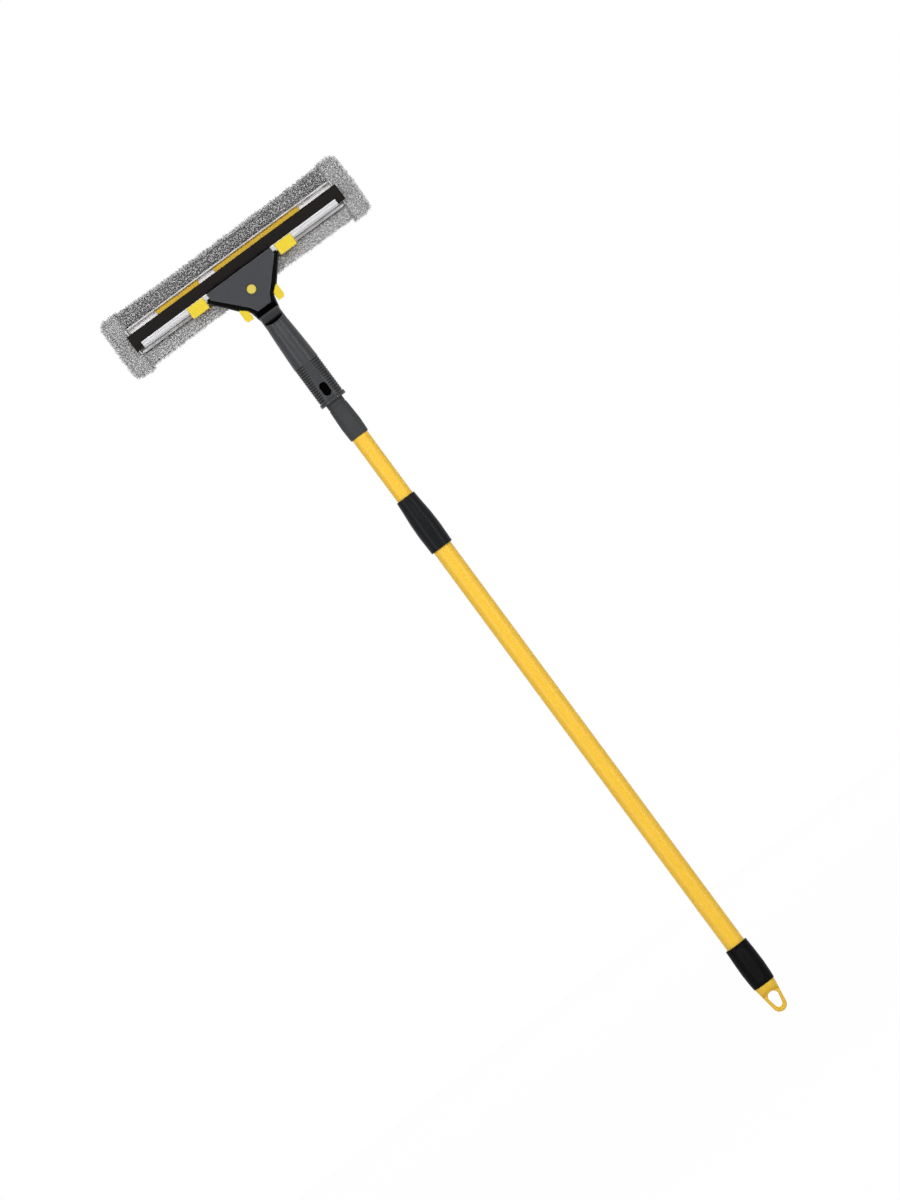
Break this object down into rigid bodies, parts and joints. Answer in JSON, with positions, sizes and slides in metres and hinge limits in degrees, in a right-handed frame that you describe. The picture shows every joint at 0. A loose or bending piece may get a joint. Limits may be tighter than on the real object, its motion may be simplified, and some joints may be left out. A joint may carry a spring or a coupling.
{
  "type": "window scrubber",
  "caption": "Window washing tool on a telescopic pole: squeegee blade in front and plush washing sleeve behind, on a swivelling head with squeeze levers, ribbed grip and hanging loop.",
  "frame": {"origin": "on the pole's axis, in the middle of the bare outer tube", "axes": "+Z along the pole towards the head, +X along the head to the right as the blade side is seen, -Y the front, the blade's side"},
  "size_m": [0.353, 0.0565, 1.1635],
  "materials": {
    "tube_paint": "satin yellow paint on a thin aluminium tube",
    "black_plastic": "matt moulded black",
    "charcoal_plastic": "matt moulded charcoal",
    "yellow_plastic": "semi-gloss moulded yellow",
    "channel_alloy": "extruded, fine lines along its length",
    "carrier_sheet": "plain satin sheet",
    "steel": "bright zinc plate",
    "blade_rubber": "smooth black rubber",
    "plush": "short curly plush pile, grey"
  },
  "bodies": {
    "pole_base": {"outer_tube": "tube_paint", "collar": "black_plastic", "end_sleeve": "black_plastic", "hanging_loop": "yellow_plastic"},
    "expander": {"expander_sleeve": "black_plastic"},
    "expander_wedge": {"expander_cone": "black_plastic"},
    "pole_head": {"inner_tube": "tube_paint", "expander_stud": "black_plastic", "pole_tip": "black_plastic", "snap_spring": "steel", "handle": "charcoal_plastic", "lever_pins": "steel", "lever_spring": "steel"},
    "catch": {"snap_button": "charcoal_plastic"},
    "left_lever": {"lever_left": "yellow_plastic"},
    "right_lever": {"lever_right": "yellow_plastic"},
    "head": {"front_plate": "charcoal_plastic", "front_liner": "black_plastic", "rear_jaw": "charcoal_plastic", "pivot_pin": "steel", "pivot_nut": "steel", "pivot_cap": "yellow_plastic", "blade_channel": "channel_alloy", "squeegee_blade": "blade_rubber", "carrier_plate": "carrier_sheet", "strip_left": "yellow_plastic", "strip_right": "yellow_plastic", "pad_wrap": "plush", "pad_pocket_left": "plush", "pad_pocket_right": "plush"},
    "left_clip": {"clip_left": "yellow_plastic"},
    "right_clip": {"clip_right": "yellow_plastic"}
  },
  "joints": [
    {"name": "pole_extend", "type": "slide", "parent": "pole_base", "child": "expander", "axis": [0, 0, 1], "range_m": [-0.088, 0.42]},
    {"name": "pole_twist", "type": "hinge", "parent": "expander", "child": "pole_head", "pos_m": [0, 0, -0.175], "axis": [0, 0, 1], "range_deg": [0, 180]},
    {"name": "cone_travel", "type": "slide", "parent": "expander", "child": "expander_wedge", "axis": [0, 0, 1], "range_m": [-0.0016, 0]},
    {"name": "head_swivel", "type": "hinge", "parent": "pole_head", "child": "head", "pos_m": [0, 0, 0.689], "axis": [0, 1, 0], "range_deg": [-45, 45]},
    {"name": "lever_left_squeeze", "type": "hinge", "parent": "pole_head", "child": "left_lever", "pos_m": [-0.0132, 0, 0.6825], "axis": [0, -1, 0], "range_deg": [0, 6], "stiffness_Nm_per_rad": 2, "springref_deg": -2.86, "deforming": ["lever_spring"]},
    {"name": "lever_right_squeeze", "type": "hinge", "parent": "pole_head", "child": "right_lever", "pos_m": [0.0132, 0, 0.6825], "axis": [0, 1, 0], "range_deg": [0, 6], "stiffness_Nm_per_rad": 2, "springref_deg": -2.86, "deforming": ["lever_spring"]},
    {"name": "snap_button_press", "type": "slide", "parent": "pole_head", "child": "catch", "axis": [0, 1, 0], "range_m": [0, 0.0025], "stiffness_N_per_m": 1500, "springref_m": -0.001, "deforming": ["snap_spring"]},
    {"name": "clip_left_slide", "type": "slide", "parent": "head", "child": "left_clip", "axis": [-1, 0, 0], "range_m": [0, 0.06]},
    {"name": "clip_right_slide", "type": "slide", "parent": "head", "child": "right_clip", "axis": [1, 0, 0], "range_m": [0, 0.06]}
  ],
  "couplings": [
    {"joint": "cone_travel", "follows": "pole_twist", "m_per_rad": -0.000477}
  ]
}
